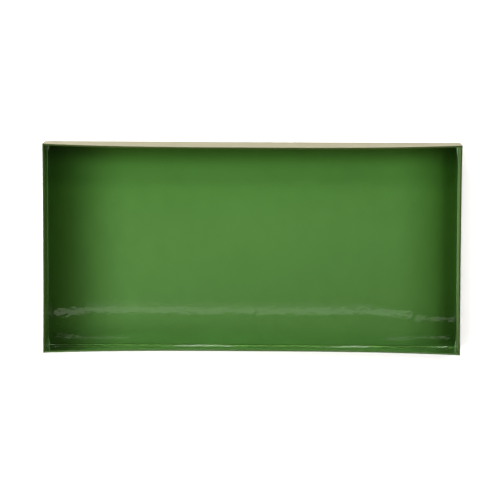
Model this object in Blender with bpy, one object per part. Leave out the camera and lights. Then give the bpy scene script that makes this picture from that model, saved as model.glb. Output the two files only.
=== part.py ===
"""A plain rectangular tray of enamelled sheet steel.

The floor and the two long walls are one sheet, folded up along the front and the back.
An end plate closes each end of that channel.  Short weld runs hold the plates on from the
inside: one across each foot and one up each corner.  +X is the tray's length, +Y its back,
+Z is up, and the origin is the middle of the underside, where the tray rests.
"""

import math

import bmesh
import bpy

# Outside size, in metres
LENGTH = 0.300
WIDTH = 0.151
HEIGHT = 0.030

# The sheet, with its enamel on both sides
SHEET = 0.0012
FOLD_RADIUS = 0.0015
OUTER_FOLD_RADIUS = FOLD_RADIUS + SHEET

# The walls spring inwards between the corners, most at the rim and at mid-length
LONG_RIM_BOW = 0.0021
END_RIM_BOW = 0.00035
FRONT_FOLD_BOW = 0.0006
BACK_FOLD_BOW = 0.00015
BOW_POWER = 3

# Weld runs: triangular fillets with a hollow face and blunt toes
WELD_LEG = 0.0016
WELD_TOE = 0.0003
WELD_BELOW_RIM = 0.0015

# Clear space between neighbouring pieces
GAP = 0.0003

# How finely curves and runs are divided
FOLD_STEPS = 6
RIM_STEPS = 6
WELD_STEPS = 5
FLOOR_STEPS = 6
LONG_STEPS = 24
END_STEPS = 12

SMOOTH_ANGLE = math.radians(35)

# Linear colours of the finish
LEAF_GREEN = (0.095, 0.238, 0.054, 1.0)
WELD_GREEN = (0.070, 0.180, 0.038, 1.0)


def clear_scene():
    """Start from an empty scene."""
    for item in list(bpy.data.objects):
        bpy.data.objects.remove(item, do_unlink=True)


def enamel(name, colour, roughness):
    """Glossy lacquer over metal, with its own material for each sub-part."""
    material = bpy.data.materials.new(name)
    material.use_nodes = True
    shader = material.node_tree.nodes["Principled BSDF"]
    shader.inputs["Base Color"].default_value = colour
    shader.inputs["Metallic"].default_value = 0.6
    shader.inputs["Roughness"].default_value = roughness
    shader.inputs["Coat Weight"].default_value = 1.0
    material.diffuse_color = colour
    return material


def swept_solid(name, rings, end_faces, material, parent):
    """Join equal rings of points into one closed solid with flat ends."""
    shape = bmesh.new()
    loops = [[shape.verts.new(point) for point in ring] for ring in rings]
    for loop, following in zip(loops, loops[1:]):
        for index in range(len(loop)):
            after = (index + 1) % len(loop)
            shape.faces.new((loop[index], loop[after], following[after], following[index]))
    for loop in (loops[0], loops[-1]):
        for face in end_faces:
            shape.faces.new([loop[index] for index in face])
    bmesh.ops.recalc_face_normals(shape, faces=shape.faces)
    mesh = bpy.data.meshes.new(name)
    shape.to_mesh(mesh)
    shape.free()
    mesh.shade_smooth()
    mesh.set_sharp_from_angle(angle=SMOOTH_ANGLE)
    mesh.materials.append(material)
    piece = bpy.data.objects.new(name, mesh)
    bpy.context.scene.collection.objects.link(piece)
    piece.parent = parent
    return piece


def spread(start, end, steps):
    """Evenly spaced numbers from start to end, both included."""
    return [start + (end - start) * step / steps for step in range(steps + 1)]


def bow_shape(position, half_span):
    """1 at mid-span, falling to 0 at the corners."""
    return 1.0 - abs(position / half_span) ** BOW_POWER


def arc(centre, radius, first_angle, last_angle, steps):
    """Points of an arc, as pairs, angles in radians."""
    return [
        (centre[0] + radius * math.cos(angle), centre[1] + radius * math.sin(angle))
        for angle in spread(first_angle, last_angle, steps)
    ]


def channel_section():
    """The folded sheet's outer and inner lines, from the front rim to the back rim."""
    fold_y = WIDTH / 2 - OUTER_FOLD_RADIUS
    rim_z = HEIGHT - SHEET / 2

    def line(radius, floor_z):
        back_fold = arc((fold_y, OUTER_FOLD_RADIUS), radius, -math.pi / 2, 0.0, FOLD_STEPS)
        floor = [(y, floor_z) for y in spread(-fold_y, fold_y, FLOOR_STEPS)]
        back = back_fold[1:] + [(fold_y + radius, rim_z)]
        front = [(-y, z) for y, z in reversed(back)]
        return front + floor + back

    return line(OUTER_FOLD_RADIUS, 0.0), line(FOLD_RADIUS, SHEET)


def rim_round(outer, inner, outward):
    """The points that round a rim over from its outer line to its inner line."""
    middle = ((outer[0] + inner[0]) / 2, outer[1])
    half_turn = arc(middle, SHEET / 2, 0.0, math.pi, RIM_STEPS)[1:-1]
    if outward > 0:
        return half_turn
    return [(2 * middle[0] - across, height) for across, height in half_turn]


def leaned_in(y, z, x):
    """Where a point of the channel's section lies at the station x."""
    side = 1.0 if y > 0 else -1.0
    fold_bow = BACK_FOLD_BOW if y > 0 else FRONT_FOLD_BOW
    above_floor = max(0.0, z - SHEET)
    share = above_floor / (HEIGHT - SHEET)
    through_fold = min(1.0, above_floor / FOLD_RADIUS)
    lean = fold_bow * through_fold * (1.0 - share) + LONG_RIM_BOW * share
    return (x, y - side * lean * bow_shape(x, LENGTH / 2), z)


def build_channel_pan(parent):
    """Floor, front wall and back wall, folded from one sheet."""
    outer, inner = channel_section()
    back_rim = rim_round(outer[-1], inner[-1], 1)
    front_rim = list(reversed(rim_round(outer[0], inner[0], -1)))
    section = outer + back_rim + list(reversed(inner)) + front_rim
    pairs = len(outer)
    inner_end = pairs + len(back_rim)
    total = len(section)

    def inner_index(step):
        return inner_end + pairs - 1 - step

    end_faces = [
        (step, step + 1, inner_index(step + 1), inner_index(step)) for step in range(pairs - 1)
    ]
    end_faces.append(tuple(range(pairs - 1, inner_end + 1)))
    end_faces.append(tuple(range(inner_index(0), total)) + (0,))
    half_length = LENGTH / 2 - SHEET - GAP
    rings = [
        [leaned_in(y, z, x) for y, z in section]
        for x in spread(-half_length, half_length, LONG_STEPS)
    ]
    finish = enamel("channel_pan_enamel", LEAF_GREEN, 0.42)
    return swept_solid("channel_pan", rings, end_faces, finish, parent)


def build_end_plate(name, parent):
    """One end wall, standing at x = 0 with its outer face towards +X."""
    rim_z = HEIGHT - SHEET / 2
    crown = arc((-SHEET / 2, rim_z), SHEET / 2, 0.0, math.pi, RIM_STEPS)
    straight = WIDTH / 2 - OUTER_FOLD_RADIUS
    corner = [
        straight + OUTER_FOLD_RADIUS * math.sin(angle)
        for angle in spread(0.0, math.pi / 2, FOLD_STEPS)
    ]
    middle = spread(-straight, straight, END_STEPS)
    stations = [-y for y in reversed(corner[1:])] + middle + corner[1:]

    def foot(y):
        beyond = max(0.0, abs(y) - straight)
        return OUTER_FOLD_RADIUS - math.sqrt(max(0.0, OUTER_FOLD_RADIUS**2 - beyond**2))

    def ring(y):
        section = [(0.0, foot(y))] + crown + [(-SHEET, foot(y))]
        bow = END_RIM_BOW * bow_shape(y, WIDTH / 2)
        return [(x - bow * z / HEIGHT, y, z) for x, z in section]

    rings = [ring(y) for y in stations]
    end_faces = [tuple(range(len(rings[0])))]
    finish = enamel(name + "_enamel", LEAF_GREEN, 0.42)
    return swept_solid(name, rings, end_faces, finish, parent)


def weld_section():
    """A fillet's outline, its square corner at the origin and its legs along both axes."""
    reach = WELD_LEG - WELD_TOE
    hollow = arc((WELD_LEG, WELD_LEG), reach, math.pi * 1.5, math.pi, WELD_STEPS)
    return [(0.0, 0.0), (WELD_LEG, 0.0)] + hollow + [(0.0, WELD_LEG)]


def build_weld(name, start, end, place, parent):
    """A weld run: the section swept from start to end, set in world space by place."""
    section = weld_section()
    rings = [[place(a, b, along) for a, b in section] for along in (start, end)]
    end_faces = [(0, step, step + 1) for step in range(1, len(section) - 1)]
    finish = enamel(name + "_enamel", WELD_GREEN, 0.35)
    return swept_solid(name, rings, end_faces, finish, parent)


def build_foot_weld(name, side, parent):
    """The run across the tray where an end plate stands against the floor."""
    plate_face = LENGTH / 2 - SHEET - GAP
    half_run = WIDTH / 2 - OUTER_FOLD_RADIUS

    def place(inwards, upwards, across):
        return (side * (plate_face - inwards), across, SHEET + GAP + upwards)

    return build_weld(name, -half_run, half_run, place, parent)


def build_corner_weld(name, side, wall, parent):
    """The run up one corner, between an end plate and a long wall."""
    plate_face = LENGTH / 2 - SHEET - GAP
    wall_face = WIDTH / 2 - SHEET - GAP
    lowest = SHEET + WELD_LEG + 2 * GAP
    highest = HEIGHT - WELD_BELOW_RIM

    def place(along_x, along_y, height):
        lean = LONG_RIM_BOW * bow_shape(plate_face - along_x, LENGTH / 2) * height / HEIGHT
        return (side * (plate_face - along_x), wall * (wall_face - lean - along_y), height)

    return build_weld(name, lowest, highest, place, parent)


def main():
    clear_scene()
    tray = bpy.data.objects.new("tray", None)
    bpy.context.scene.collection.objects.link(tray)
    build_channel_pan(tray)
    for side, side_name in ((-1, "left"), (1, "right")):
        plate = build_end_plate("end_plate_" + side_name, tray)
        plate.location = (side * LENGTH / 2, 0.0, 0.0)
        plate.rotation_euler = (0.0, 0.0, 0.0 if side > 0 else math.pi)
        build_foot_weld("foot_weld_" + side_name, side, tray)
        for wall, wall_name in ((-1, "front"), (1, "back")):
            build_corner_weld("corner_weld_" + wall_name + "_" + side_name, side, wall, tray)


main()
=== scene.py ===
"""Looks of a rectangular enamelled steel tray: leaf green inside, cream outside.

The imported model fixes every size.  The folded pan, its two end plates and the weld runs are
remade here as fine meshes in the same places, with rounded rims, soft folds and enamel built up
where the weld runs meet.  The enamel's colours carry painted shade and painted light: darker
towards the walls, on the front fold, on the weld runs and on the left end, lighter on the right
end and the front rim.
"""

import math

import bmesh
import bpy
from mathutils import Matrix, Vector, noise


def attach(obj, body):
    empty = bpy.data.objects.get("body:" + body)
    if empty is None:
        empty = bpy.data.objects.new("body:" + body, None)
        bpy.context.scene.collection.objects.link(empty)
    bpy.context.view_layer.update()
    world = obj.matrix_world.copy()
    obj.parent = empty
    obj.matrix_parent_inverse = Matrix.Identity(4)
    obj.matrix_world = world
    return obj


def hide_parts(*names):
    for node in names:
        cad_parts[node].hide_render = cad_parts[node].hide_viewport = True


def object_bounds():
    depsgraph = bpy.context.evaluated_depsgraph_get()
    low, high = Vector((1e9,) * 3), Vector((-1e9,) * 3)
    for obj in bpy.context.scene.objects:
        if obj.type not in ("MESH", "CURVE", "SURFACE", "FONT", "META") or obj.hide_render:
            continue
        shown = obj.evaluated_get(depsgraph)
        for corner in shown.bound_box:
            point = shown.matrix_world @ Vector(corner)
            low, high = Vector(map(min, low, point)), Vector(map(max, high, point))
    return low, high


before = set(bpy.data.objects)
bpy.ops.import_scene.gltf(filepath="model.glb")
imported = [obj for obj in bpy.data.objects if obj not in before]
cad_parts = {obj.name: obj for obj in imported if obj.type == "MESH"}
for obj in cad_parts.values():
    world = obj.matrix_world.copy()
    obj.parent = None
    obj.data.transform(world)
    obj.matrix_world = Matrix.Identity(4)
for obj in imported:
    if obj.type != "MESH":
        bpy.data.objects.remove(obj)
CAD_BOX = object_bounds()

# ---------------------------------------------------------------------------------------------
# Sizes, in metres.  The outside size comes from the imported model.
# ---------------------------------------------------------------------------------------------

LENGTH = CAD_BOX[1][0] - CAD_BOX[0][0]
WIDTH = CAD_BOX[1][1] - CAD_BOX[0][1]
HEIGHT = CAD_BOX[1][2] - CAD_BOX[0][2]

# The sheet, its folds, and how far the walls spring inwards between the corners
SHEET = 0.0012
FOLD_RADIUS = 0.0015
OUTER_FOLD_RADIUS = FOLD_RADIUS + SHEET
LONG_RIM_BOW = 0.0021
END_RIM_BOW = 0.00035
FRONT_FOLD_BOW = 0.0006
BACK_FOLD_BOW = 0.00015
BOW_POWER = 3
RIM_RADIUS = 0.0003

# How finely curves and runs are divided
FOLD_STEPS = 14
RIM_STEPS = 5
FLOOR_STEPS = 60
WALL_STEPS = 10
LONG_STEPS = 120
END_STEPS = 60
WELD_STEPS = 10
FOOT_RUN_STEPS = 120
CORNER_RUN_STEPS = 40

# Weld runs: their legs, how much the enamel adds where two runs meet, and over what length
FOOT_LEG = 0.00035
CORNER_LEG = 0.0010
CORNER_POOL = 0.0014
CORNER_RUN = 0.006
BACK_RUN = 0.011
WELD_SINK = 0.0002
WELD_LUMPS = 0.18
WELD_LUMP_CELLS = 260.0
CORNER_BELOW_RIM = 0.0012

# The floor stands slightly proud near the two front corners
SWELL = 0.00008
SWELL_Y = -0.062
SWELL_SPREAD = 0.015
SWELL_LEFT = (0.110, 0.150)
SWELL_RIGHT = (0.085, 0.130)
SWELL_RIGHT_SHARE = 1.3
ON_FLOOR = 0.0001

# ---------------------------------------------------------------------------------------------
# Colours and patterns, linear; cells are per metre
# ---------------------------------------------------------------------------------------------

# Painted shade on the front fold and the front wall: where it starts, where it is full, and how high
# it climbs
FOLD_SHADE_START = 0.0024
FOLD_SHADE_FULL = 0.0014
FOLD_SHADE_TOP = 0.022
FOLD_SHADE = (0.52, 0.55, 0.43, 1.0)
# How far in from the front wall the painted shade along the right end fades in, so that it spares
# the front fold
RIGHT_WALL_SHADE_FADE = (0.001, 0.003)

# Painted shade, darker towards each wall: how far in from its edge it reaches, and its tint at the
# edge
LEFT_WALL_SHADE = (0.062, (0.25, 0.31, 0.11, 1.0))
RIGHT_WALL_SHADE = (0.048, (0.33, 0.40, 0.18, 1.0))
RIGHT_WIDE_SHADE = (0.163, (0.81, 0.82, 0.80, 1.0))
BACK_WALL_SHADE = (0.0194, (0.56, 0.51, 0.28, 1.0))
BACK_WIDE_SHADE = (0.067, (0.77, 0.91, 0.68, 1.0))
FRONT_WIDE_SHADE = (0.093, (0.94, 0.90, 0.97, 1.0))

GREEN = (0.174, 0.447, 0.095, 1.0)
GREEN_DEEP = (0.157, 0.412, 0.083, 1.0)
RIM_GREEN = (0.025, 0.042, 0.007, 1.0)
RIM_GREEN_DEEP = (0.019, 0.033, 0.005, 1.0)
CREAM = (0.298, 0.274, 0.177, 1.0)
CREAM_DEEP = (0.277, 0.254, 0.160, 1.0)
# Lit and shaded copies of the green for the end plates' inner faces: painted shade on the left end,
# painted light on the right end
LEFT_END_SHADED = (0.060, 0.150, 0.020, 1.0)
LEFT_END_SHADED_DEEP = (0.052, 0.135, 0.016, 1.0)
RIGHT_END_LIT = (0.150, 0.265, 0.085, 1.0)
RIGHT_END_LIT_DEEP = (0.135, 0.245, 0.075, 1.0)
# A lighter green for the front rim than the other rims have: painted light
FRONT_RIM_LIT = (0.028, 0.070, 0.008, 1.0)
FRONT_RIM_LIT_DEEP = (0.024, 0.062, 0.006, 1.0)
# A dark green for the weld runs in the corners and along the feet: painted shade of the creases
BEAD_SHADE_GREEN = (0.060, 0.150, 0.030, 1.0)
BEAD_SHADE_GREEN_DEEP = (0.045, 0.120, 0.022, 1.0)
FLOOR_TONES = ((0.86, 0.86, 0.86, 1.0), (0.88, 0.88, 0.88, 1.0))

CLOUD_CELLS = 14.0
CLOUD_SHARE = 0.45
FLAKE_CELLS = 2600.0
FLAKE_SHARE = 0.35
ROUGHNESS_CELLS = 120.0
ROUGHNESS_SPREAD = 0.008
DIMPLE_CELLS = 170.0
PEEL_CELLS = 480.0
PEEL_DEPTH = 0.00004
PEEL = 0.15
CALM_PEEL = 0.03
GRAIN_CELLS = 900.0
GRAIN_DEPTH = 0.00005
GRAIN = 0.3
COAT_ROUGHNESS = 0.018
COAT_IOR = 1.5

# ---------------------------------------------------------------------------------------------
# Lights and camera, in metres and degrees
# ---------------------------------------------------------------------------------------------

SOFTBOX_DISTANCE = 1.2
SOFTBOX_SIDE = 0.372
# Tilt from the vertical, azimuth, radiance
SOFTBOXES = (
    (35.0, 30.0, 6.52),
    (35.0, 330.0, 3.35),
    (48.0, 150.0, 11.73),
    (60.0, 210.0, 12.77),
    (35.0, 240.0, 1.61),
    (35.0, 150.0, 1.35),
    (60.0, 150.0, 2.77),
    (72.0, 210.0, 10.89),
    (60.0, 180.0, 5.01),
)

TUBE_HEIGHT = 0.6
TUBE_COLOUR = (0.95, 1.0, 0.82)
# Strip lights mirrored in the floor: name, x, y, breadth, depth, radiance
TUBES = (
    ("tube", -0.028, -0.1262, 0.337, 0.0056, 1.25),
    ("tube_glow", -0.030, -0.1210, 0.270, 0.0048, 0.38),
    ("tube_end", 0.168, -0.1290, 0.050, 0.0045, 1.0),
    ("edge_left", -0.158, -0.1534, 0.070, 0.0020, 1.0),
    ("edge_right", 0.146, -0.1532, 0.062, 0.0020, 1.1),
)

KICKER_TILT = 50.0
KICKER_AZIMUTH = 90.0
KICKER_DISTANCE = 1.0
KICKER_DEPTH = 0.13
KICKER_Y = 0.693
KICKER_Z = 0.643
# Lights behind the tray that glint on the front fold: name, x, breadth, radiance
KICKERS = (
    ("kicker_left", -0.068, 0.0615, 60.0),
    ("kicker_right", 0.090, 0.0480, 60.0),
    ("kicker_far_left", -0.236, 0.010, 150.0),
    ("kicker_far_right", 0.193, 0.013, 200.0),
)

FILL_HEIGHT = 2.2
FILL_SIDE = 3.0
FILL_RADIANCE = 2.0
STUDIO_TONES = ((0.05, 0.95), (0.35, 0.15), (0.60, 0.03))
STUDIO_FLOOR_REACH = 4.0
STUDIO_FLOOR_DROP = 0.0003

CAMERA_PITCH = 6.199
CAMERA_YAW = -0.911
CAMERA_ROLL = -0.318
CAMERA_LENS = 198.1
CAMERA_SENSOR = 36.0
CAMERA_CLIP = (0.05, 20.0)
CAMERA_PLACE = (-0.00168, -0.00337, 2.0)


# ---------------------------------------------------------------------------------------------
# Materials
# ---------------------------------------------------------------------------------------------


# A Mix node's colour sockets have the same names as its other ones, so they go by number
MIX_FIRST = 6
MIX_SECOND = 7
MIX_RESULT = 2


def new_material(name):
    """A material with its node tree and its shader."""
    material = bpy.data.materials.new(name)
    material.use_nodes = True
    tree = material.node_tree
    return material, tree, tree.nodes["Principled BSDF"]


def add_node(tree, kind, **values):
    """A node with its settings and its unlinked inputs given by name."""
    node = tree.nodes.new(kind)
    for key, value in values.items():
        label = key.replace("_", " ").title()
        if label in node.inputs:
            node.inputs[label].default_value = value
        else:
            setattr(node, key, value)
    return node


def noise_of(tree, cells, detail):
    """A noise pattern fixed to the object; cells are per metre."""
    place = tree.nodes.new("ShaderNodeTexCoord")
    pattern = add_node(tree, "ShaderNodeTexNoise", scale=cells, detail=detail, roughness=0.55)
    tree.links.new(place.outputs["Object"], pattern.inputs["Vector"])
    return pattern.outputs["Fac"]


def map_range(tree, source, low, high, to_low, to_high):
    """Maps low..high smoothly onto to_low..to_high, and holds the ends."""
    node = tree.nodes.new("ShaderNodeMapRange")
    node.interpolation_type = "SMOOTHSTEP"
    tree.links.new(source, node.inputs["Value"])
    node.inputs["From Min"].default_value = low
    node.inputs["From Max"].default_value = high
    node.inputs["To Min"].default_value = to_low
    node.inputs["To Max"].default_value = to_high
    return node.outputs["Result"]


def blend_colours(tree, factor, first, second):
    """Mixes two fixed colours."""
    node = tree.nodes.new("ShaderNodeMix")
    node.data_type = "RGBA"
    tree.links.new(factor, node.inputs["Factor"])
    node.inputs[MIX_FIRST].default_value = first
    node.inputs[MIX_SECOND].default_value = second
    return node.outputs[MIX_RESULT]


def bump(tree, height, distance, strength, under=None):
    """A bumped normal, on top of another one if under is given."""
    node = tree.nodes.new("ShaderNodeBump")
    node.inputs["Strength"].default_value = strength
    node.inputs["Distance"].default_value = distance
    tree.links.new(height, node.inputs["Height"])
    if under is not None:
        tree.links.new(under, node.inputs["Normal"])
    return node.outputs["Normal"]


def multiply(tree, factor, colour, tint):
    """Multiplies a colour by a tint, as far as the factor says."""
    node = tree.nodes.new("ShaderNodeMix")
    node.data_type = "RGBA"
    node.blend_type = "MULTIPLY"
    tree.links.new(factor, node.inputs["Factor"])
    tree.links.new(colour, node.inputs[MIX_FIRST])
    node.inputs[MIX_SECOND].default_value = tint
    return node.outputs[MIX_RESULT]


def paint_wall_shade(tree, colour):
    """Paints shade into the enamel's colour, darker towards the walls: along the ends, the back, the
    front and the front fold.
    """
    place = tree.nodes.new("ShaderNodeTexCoord")
    parts = tree.nodes.new("ShaderNodeSeparateXYZ")
    tree.links.new(place.outputs["Object"], parts.inputs[0])
    end_foot = LENGTH / 2 - SHEET
    side_foot = WIDTH / 2 - SHEET
    low = map_range(tree, parts.outputs["Z"], FOLD_SHADE_TOP, SHEET, 0.0, 1.0)
    fade_start, fade_end = (inwards - side_foot for inwards in RIGHT_WALL_SHADE_FADE)
    behind_fold = map_range(tree, parts.outputs["Y"], fade_start, fade_end, 0.0, 1.0)
    fold_start = FOLD_SHADE_START - side_foot
    fold_full = FOLD_SHADE_FULL - side_foot
    bands = [("Y", fold_start, fold_full, FOLD_SHADE, low)]
    for axis, edge, (reach, tint), limit in (
        ("X", -end_foot, LEFT_WALL_SHADE, None),
        ("X", end_foot, RIGHT_WALL_SHADE, behind_fold),
        ("X", end_foot, RIGHT_WIDE_SHADE, None),
        ("Y", side_foot, BACK_WALL_SHADE, None),
        ("Y", side_foot, BACK_WIDE_SHADE, None),
        ("Y", -side_foot, FRONT_WIDE_SHADE, None),
    ):
        bands.append((axis, edge - math.copysign(reach, edge), edge, tint, limit))
    for axis, start, end, tint, limit in bands:
        factor = map_range(tree, parts.outputs[axis], start, end, 0.0, 1.0)
        if limit is not None:
            both = add_node(tree, "ShaderNodeMath", operation="MULTIPLY")
            tree.links.new(factor, both.inputs[0])
            tree.links.new(limit, both.inputs[1])
            factor = both.outputs[0]
        colour = multiply(tree, factor, colour, tint)
    return colour


def lacquer(name, tones, metallic, roughness, coat=1.0, shine=0.5, peel=PEEL, wall_shade=False):
    """Cloudy tinted enamel, partly metallic, under a clear gloss coat with a slight peel, and
    painted shade towards the walls if asked for.
    """
    colour, deep = tones
    material, tree, shader = new_material(name)
    cloud = map_range(tree, noise_of(tree, CLOUD_CELLS, 2.0), 0.3, 0.7, 0.0, 1.0)
    flake = map_range(tree, noise_of(tree, FLAKE_CELLS, 1.0), 0.25, 0.75, 0.0, FLAKE_SHARE)
    shade = tree.nodes.new("ShaderNodeMath")
    shade.operation = "MULTIPLY_ADD"
    tree.links.new(cloud, shade.inputs[0])
    shade.inputs[1].default_value = CLOUD_SHARE
    tree.links.new(flake, shade.inputs[2])
    tint = blend_colours(tree, shade.outputs[0], colour, deep)
    # Painted shade: darker towards the walls and on the front fold
    if wall_shade:
        tint = paint_wall_shade(tree, tint)
    tree.links.new(tint, shader.inputs["Base Color"])
    dull = roughness + ROUGHNESS_SPREAD
    bright = roughness - ROUGHNESS_SPREAD
    rough = map_range(tree, noise_of(tree, ROUGHNESS_CELLS, 3.0), 0.3, 0.7, bright, dull)
    tree.links.new(rough, shader.inputs["Roughness"])
    shader.inputs["Metallic"].default_value = metallic
    shader.inputs["Specular IOR Level"].default_value = shine
    shader.inputs["Coat Weight"].default_value = coat
    shader.inputs["Coat Roughness"].default_value = COAT_ROUGHNESS
    shader.inputs["Coat IOR"].default_value = COAT_IOR
    dimples = bump(tree, noise_of(tree, DIMPLE_CELLS, 0.0), PEEL_DEPTH, peel)
    fine = bump(tree, noise_of(tree, PEEL_CELLS, 0.0), PEEL_DEPTH, peel, dimples)
    tree.links.new(fine, shader.inputs["Coat Normal"])
    grain = bump(tree, noise_of(tree, GRAIN_CELLS, 2.0), GRAIN_DEPTH, GRAIN)
    tree.links.new(grain, shader.inputs["Normal"])
    return material


def pale_floor():
    """Matt, nearly white studio floor."""
    material, tree, shader = new_material("pale_floor")
    tone = map_range(tree, noise_of(tree, 3.0, 2.0), 0.2, 0.8, 0.0, 1.0)
    tree.links.new(blend_colours(tree, tone, *FLOOR_TONES), shader.inputs["Base Color"])
    shader.inputs["Roughness"].default_value = 0.9
    shader.inputs["Specular IOR Level"].default_value = 0.1
    return material


# ---------------------------------------------------------------------------------------------
# Shapes
# ---------------------------------------------------------------------------------------------


SMOOTH_ANGLE = math.radians(35)

# Places in each piece's list of materials
INSIDE = 0
OUTSIDE = 1
RIM = 2
FRONT_RIM_EDGE = 3
FRONT_WALL = 4


def spread(start, end, steps):
    """Evenly spaced numbers from start to end, both included."""
    return [start + (end - start) * step / steps for step in range(steps + 1)]


def arc(centre, radius, first_angle, last_angle, steps):
    """Points of an arc, as pairs, angles in radians."""
    return [
        (centre[0] + radius * math.cos(angle), centre[1] + radius * math.sin(angle))
        for angle in spread(first_angle, last_angle, steps)
    ]


def rim_profile():
    """A cut edge softened by its enamel, from the outer face to the inner face, about its middle."""
    inset = SHEET / 2 - RIM_RADIUS
    outer = arc((inset, -RIM_RADIUS), RIM_RADIUS, 0.0, math.pi / 2, RIM_STEPS)
    inner = arc((-inset, -RIM_RADIUS), RIM_RADIUS, math.pi / 2, math.pi, RIM_STEPS)
    return outer + inner


def bow_shape(position, half_span):
    """1 at mid-span, falling to 0 at the corners."""
    return max(0.0, 1.0 - abs(position / half_span) ** BOW_POWER)


def finish_piece(name, shape, materials):
    """Turns a bmesh into a shaded object."""
    bmesh.ops.recalc_face_normals(shape, faces=shape.faces)
    mesh = bpy.data.meshes.new(name)
    shape.to_mesh(mesh)
    shape.free()
    mesh.shade_smooth()
    mesh.set_sharp_from_angle(angle=SMOOTH_ANGLE)
    for material in materials:
        mesh.materials.append(material)
    piece = bpy.data.objects.new(name, mesh)
    bpy.context.scene.collection.objects.link(piece)
    return piece


def sweep(rings, end_faces, paint):
    """Closed solid through equal rings; paint(step) is the material of each strip."""
    shape = bmesh.new()
    loops = [[shape.verts.new(point) for point in ring] for ring in rings]
    for loop, following in zip(loops, loops[1:]):
        for index in range(len(loop)):
            after = (index + 1) % len(loop)
            face = shape.faces.new((loop[index], loop[after], following[after], following[index]))
            face.material_index = paint(index)
    for loop in (loops[0], loops[-1]):
        for indices in end_faces:
            face = shape.faces.new([loop[index] for index in indices])
            face.material_index = OUTSIDE
    return shape


def channel_section():
    """The folded sheet's outer and inner lines, from the front rim to the back rim."""
    fold_y = WIDTH / 2 - OUTER_FOLD_RADIUS
    rim_z = HEIGHT - RIM_RADIUS

    def line(radius, floor_z):
        back_fold = arc((fold_y, OUTER_FOLD_RADIUS), radius, -math.pi / 2, 0.0, FOLD_STEPS)
        wall = [(fold_y + radius, z) for z in spread(OUTER_FOLD_RADIUS, rim_z, WALL_STEPS)]
        floor = [(y, floor_z) for y in spread(-fold_y, fold_y, FLOOR_STEPS)]
        back = back_fold[1:] + wall[1:]
        front = [(-y, z) for y, z in reversed(back)]
        return front + floor + back

    return line(OUTER_FOLD_RADIUS, 0.0), line(FOLD_RADIUS, SHEET)


def leaned_in(y, z, x):
    """Where a point of the channel's section lies at the station x."""
    side = 1.0 if y > 0 else -1.0
    fold_bow = BACK_FOLD_BOW if y > 0 else FRONT_FOLD_BOW
    above_floor = max(0.0, z - SHEET)
    share = above_floor / (HEIGHT - SHEET)
    through_fold = min(1.0, above_floor / FOLD_RADIUS)
    lean = fold_bow * through_fold * (1.0 - share) + LONG_RIM_BOW * share
    return (x, y - side * lean * bow_shape(x, LENGTH / 2), z)


def smooth(start, end, value):
    """0 up to start, 1 from end on, and an even curve between them."""
    share = min(1.0, max(0.0, (value - start) / (end - start)))
    return share * share * (3.0 - 2.0 * share)


def swelling(x, y, z):
    """The floor stands very slightly proud near the two front corners."""
    if abs(z - SHEET) > ON_FLOOR:
        return 0.0
    ends = smooth(*SWELL_LEFT, -x) + SWELL_RIGHT_SHARE * smooth(*SWELL_RIGHT, x)
    return SWELL * ends * math.exp(-(((y - SWELL_Y) / SWELL_SPREAD) ** 2) / 2)


def build_channel_pan(finishes):
    """Floor, front wall and back wall, folded from one sheet."""
    outer, inner = channel_section()
    middle = WIDTH / 2 - SHEET / 2
    back_rim = [(middle + across, HEIGHT + up) for across, up in rim_profile()[1:-1]]
    front_rim = [(-y, z) for y, z in reversed(back_rim)]
    section = outer + back_rim + list(reversed(inner)) + front_rim
    pairs = len(outer)
    inner_end = pairs + len(back_rim)

    def inner_index(step):
        return inner_end + pairs - 1 - step

    end_faces = [
        (step, step + 1, inner_index(step + 1), inner_index(step)) for step in range(pairs - 1)
    ]
    end_faces.append(tuple(range(pairs - 1, inner_end + 1)))
    end_faces.append(tuple(range(inner_index(0), len(section))) + (0,))
    half_length = LENGTH / 2 - SHEET
    rings = [
        [leaned_in(y, z + swelling(x, y, z), x) for y, z in section]
        for x in spread(-half_length, half_length, LONG_STEPS)
    ]

    def paint(step):
        if step < pairs - 1:
            return OUTSIDE
        if step < inner_end:
            return RIM
        if step < inner_index(FOLD_STEPS + WALL_STEPS):
            return INSIDE
        return FRONT_WALL if step < inner_index(0) else FRONT_RIM_EDGE

    shape = sweep(rings, end_faces, paint)
    piece = finish_piece("tray_pan", shape, finishes)
    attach(piece, "root")
    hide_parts("channel_pan")


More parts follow.
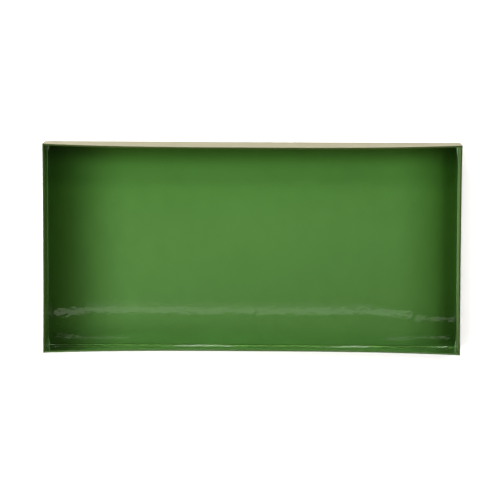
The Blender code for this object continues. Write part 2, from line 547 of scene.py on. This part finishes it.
def build_end_plate(side, side_name, finishes):
    """One end wall; its foot follows the channel's rounded folds."""
    rim_z = HEIGHT - RIM_RADIUS
    crown = [(across - SHEET / 2, HEIGHT + up) for across, up in rim_profile()[1:-1]]
    straight = WIDTH / 2 - OUTER_FOLD_RADIUS
    corner = [
        straight + OUTER_FOLD_RADIUS * math.sin(angle)
        for angle in spread(0.0, math.pi / 2, FOLD_STEPS)
    ]
    middle = spread(-straight, straight, END_STEPS)
    stations = [-y for y in reversed(corner[1:])] + middle + corner[1:]

    def foot(y):
        beyond = max(0.0, abs(y) - straight)
        return OUTER_FOLD_RADIUS - math.sqrt(max(0.0, OUTER_FOLD_RADIUS**2 - beyond**2))

    def ring(y):
        outer = [(0.0, z) for z in spread(foot(y), rim_z, WALL_STEPS)]
        inner = [(-SHEET, z) for z in reversed(spread(foot(y), rim_z, WALL_STEPS))]
        bow = END_RIM_BOW * bow_shape(y, WIDTH / 2)
        section = outer + crown + inner
        return [(side * (LENGTH / 2 + x - bow * z / HEIGHT), y, z) for x, z in section]

    rings = [ring(y) for y in stations]
    count = len(rings[0])
    first_inner = WALL_STEPS + len(crown) + 1
    end_faces = [
        (step, step + 1, count - 2 - step, count - 1 - step) for step in range(WALL_STEPS)
    ]
    end_faces.append(tuple(range(WALL_STEPS, first_inner + 1)))

    def paint(step):
        if WALL_STEPS <= step < first_inner:
            return RIM
        return INSIDE if first_inner <= step < count - 1 else OUTSIDE

    shape = sweep(rings, end_faces, paint)
    piece = finish_piece("tray_end_" + side_name, shape, finishes)
    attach(piece, "root")
    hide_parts("end_plate_" + side_name)


def build_weld(name, node, path, green):
    """A hollow-faced fillet along a path of (corner point, first leg, second leg, length)."""
    rings = []
    for corner, first, second, leg in path:
        size = leg * (1.0 + WELD_LUMPS * noise.noise(corner * WELD_LUMP_CELLS))
        hollow = arc((size, size), size, math.pi * 1.5, math.pi, WELD_STEPS)
        section = [(-WELD_SINK, -WELD_SINK)] + hollow
        rings.append([corner + first * a + second * b for a, b in section])
    end_faces = [(0, step, step + 1) for step in range(1, WELD_STEPS + 1)]
    shape = sweep(rings, end_faces, lambda step: INSIDE)
    piece = finish_piece(name, shape, (green,))
    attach(piece, "root")
    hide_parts(node)


def build_welds(green):
    """The run across each end plate's foot, and the run up each corner."""
    plate = LENGTH / 2 - SHEET
    wall = WIDTH / 2 - SHEET
    fold_y = WIDTH / 2 - OUTER_FOLD_RADIUS
    upwards = Vector((0.0, 0.0, 1.0))
    for side, side_name in ((-1, "left"), (1, "right")):
        inwards = Vector((-side, 0.0, 0.0))
        path = []
        for y in spread(-fold_y, fold_y, FOOT_RUN_STEPS):
            run = BACK_RUN if y > 0 and side > 0 else CORNER_RUN
            leg = FOOT_LEG + CORNER_POOL * smooth(fold_y - run, fold_y, abs(y))
            path.append((Vector((side * plate, y, SHEET)), inwards, upwards, leg))
        build_weld("foot_bead_" + side_name, "foot_weld_" + side_name, path, green)
        for way, way_name in ((-1, "front"), (1, "back")):
            path = []
            for turn in spread(0.0, math.pi / 2, FOLD_STEPS)[:-1]:
                y = fold_y + FOLD_RADIUS * math.sin(turn)
                z = OUTER_FOLD_RADIUS - FOLD_RADIUS * math.cos(turn)
                towards = Vector((0.0, -way * math.sin(turn), math.cos(turn)))
                low_leg = FOOT_LEG + CORNER_POOL
                leg = low_leg + (CORNER_LEG - low_leg) * smooth(0.0, math.pi / 2, turn)
                path.append((Vector((side * plate, way * y, z)), inwards, towards, leg))
            for z in spread(OUTER_FOLD_RADIUS, HEIGHT - CORNER_BELOW_RIM, CORNER_RUN_STEPS):
                y = abs(leaned_in(way * wall, z, plate)[1])
                towards = Vector((0.0, -way, 0.0))
                path.append((Vector((side * plate, way * y, z)), inwards, towards, CORNER_LEG))
            suffix = way_name + "_" + side_name
            build_weld("corner_bead_" + suffix, "corner_weld_" + suffix, path, green)


# ---------------------------------------------------------------------------------------------
# Stage, lights and camera
# ---------------------------------------------------------------------------------------------


def build_stage():
    """The floor that the tray stands on."""
    shape = bmesh.new()
    bmesh.ops.create_grid(shape, x_segments=1, y_segments=1, size=STUDIO_FLOOR_REACH)
    mesh = bpy.data.meshes.new("studio_floor")
    shape.to_mesh(mesh)
    shape.free()
    mesh.materials.append(pale_floor())
    floor = bpy.data.objects.new("studio_floor", mesh)
    floor.location = (0.0, 0.0, -STUDIO_FLOOR_DROP)
    bpy.context.scene.collection.objects.link(floor)


def softbox(name, tilt, azimuth, distance, size, strength):
    """An area light aimed at the tray; tilt is from the vertical, strength its radiance."""
    light = bpy.data.lights.new(name, "AREA")
    light.shape = "RECTANGLE"
    light.size, light.size_y = size
    light.energy = strength * math.pi * size[0] * size[1]
    holder = bpy.data.objects.new(name, light)
    out = Vector(
        (
            math.sin(math.radians(tilt)) * math.cos(math.radians(azimuth)),
            math.sin(math.radians(tilt)) * math.sin(math.radians(azimuth)),
            math.cos(math.radians(tilt)),
        )
    )
    holder.location = out * distance
    holder.rotation_euler = out.to_track_quat("Z", "Y").to_euler()
    holder.visible_camera = False
    bpy.context.scene.collection.objects.link(holder)
    return holder


def build_world():
    """A studio with a dark ceiling and pale walls."""
    world = bpy.data.worlds.new("studio")
    world.use_nodes = True
    tree = world.node_tree
    background = tree.nodes["Background"]
    place = tree.nodes.new("ShaderNodeTexCoord")
    parts = tree.nodes.new("ShaderNodeSeparateXYZ")
    ramp = tree.nodes.new("ShaderNodeValToRGB")
    tree.links.new(place.outputs["Generated"], parts.inputs[0])
    tree.links.new(parts.outputs["Z"], ramp.inputs["Fac"])
    low, middle, high = STUDIO_TONES
    stops = ramp.color_ramp.elements
    for stop, (height, tone) in zip(stops, (low, high)):
        stop.position = height
        stop.color = (tone, tone, tone, 1.0)
    middle_height, middle_tone = middle
    stops.new(middle_height).color = (middle_tone, middle_tone, middle_tone, 1.0)
    tree.links.new(ramp.outputs["Color"], background.inputs["Color"])
    background.inputs["Strength"].default_value = 1.0
    bpy.context.scene.world = world


def build_lights():
    """Soft light all round, strip lights for the floor's reflections, and glints for the fold."""
    for number, (tilt, azimuth, radiance) in enumerate(SOFTBOXES):
        name = "softbox_%d" % number
        softbox(name, tilt, azimuth, SOFTBOX_DISTANCE, (SOFTBOX_SIDE, SOFTBOX_SIDE), radiance)
    for name, x, y, breadth, depth, radiance in TUBES:
        tube = softbox(name, 0.0, 0.0, TUBE_HEIGHT, (breadth, depth), radiance)
        tube.location = (x, y, TUBE_HEIGHT)
        tube.data.color = TUBE_COLOUR
    for name, x, breadth, radiance in KICKERS:
        size = (breadth, KICKER_DEPTH)
        kicker = softbox(name, KICKER_TILT, KICKER_AZIMUTH, KICKER_DISTANCE, size, radiance)
        kicker.location = (x, KICKER_Y, KICKER_Z)
    fill = softbox("ceiling_fill", 0.0, 0.0, FILL_HEIGHT, (FILL_SIDE, FILL_SIDE), FILL_RADIANCE)
    fill.visible_glossy = False


def build_camera():
    """Looks down from almost straight above; the place is in the camera's own axes."""
    pitch, yaw, roll = (math.radians(a) for a in (CAMERA_PITCH, CAMERA_YAW, CAMERA_ROLL))
    turn = (
        Matrix.Rotation(roll, 3, "Z")
        @ Matrix.Rotation(yaw, 3, "Y")
        @ Matrix.Rotation(pitch, 3, "X")
    ).transposed()
    data = bpy.data.cameras.new("camera")
    data.lens = CAMERA_LENS
    data.sensor_width = CAMERA_SENSOR
    data.clip_start, data.clip_end = CAMERA_CLIP
    camera = bpy.data.objects.new("camera", data)
    camera.matrix_world = Matrix.Translation(turn @ Vector(CAMERA_PLACE)) @ turn.to_4x4()
    bpy.context.scene.collection.objects.link(camera)
    bpy.context.scene.camera = camera


def main():
    tones = (GREEN, GREEN_DEEP)
    # Both greens of the pan carry painted shade towards the walls and on the front fold
    green = lacquer("green_enamel", tones, 0.92, 0.38, wall_shade=True)
    front_green = lacquer("front_wall_enamel", tones, 0.92, 0.38, peel=CALM_PEEL, wall_shade=True)
    cream = lacquer("cream_enamel", (CREAM, CREAM_DEEP), 0.0, 0.6, coat=0.0, shine=0.08)
    rim = lacquer("rim_enamel", (RIM_GREEN, RIM_GREEN_DEEP), 0.0, 0.46, coat=0.0, shine=0.15)
    # A lighter green on the front rim than on the other rims: painted light
    front_rim = lacquer("front_rim_lit_enamel", (FRONT_RIM_LIT, FRONT_RIM_LIT_DEEP), 0.0, 0.46, coat=0.1)
    # The end plates' inner faces: a shaded copy of the green on the left, a lit copy on the right
    left_green_shaded = lacquer("left_end_shaded_enamel", (LEFT_END_SHADED, LEFT_END_SHADED_DEEP), 0.3, 0.38, coat=0.6)
    right_green_lit = lacquer("right_end_lit_enamel", (RIGHT_END_LIT, RIGHT_END_LIT_DEEP), 0.2, 0.38, coat=0.3)
    # A dark green on the weld runs: painted shade in the creases
    bead = lacquer("bead_shade_enamel", (BEAD_SHADE_GREEN, BEAD_SHADE_GREEN_DEEP), 0.5, 0.38)
    build_channel_pan((green, cream, rim, front_rim, front_green))
    build_end_plate(-1, "left", (left_green_shaded, cream, rim))
    build_end_plate(1, "right", (right_green_lit, cream, rim))
    build_welds(bead)
    build_stage()
    build_world()
    build_lights()
    build_camera()
    bpy.context.scene.view_settings.view_transform = "Standard"


main()
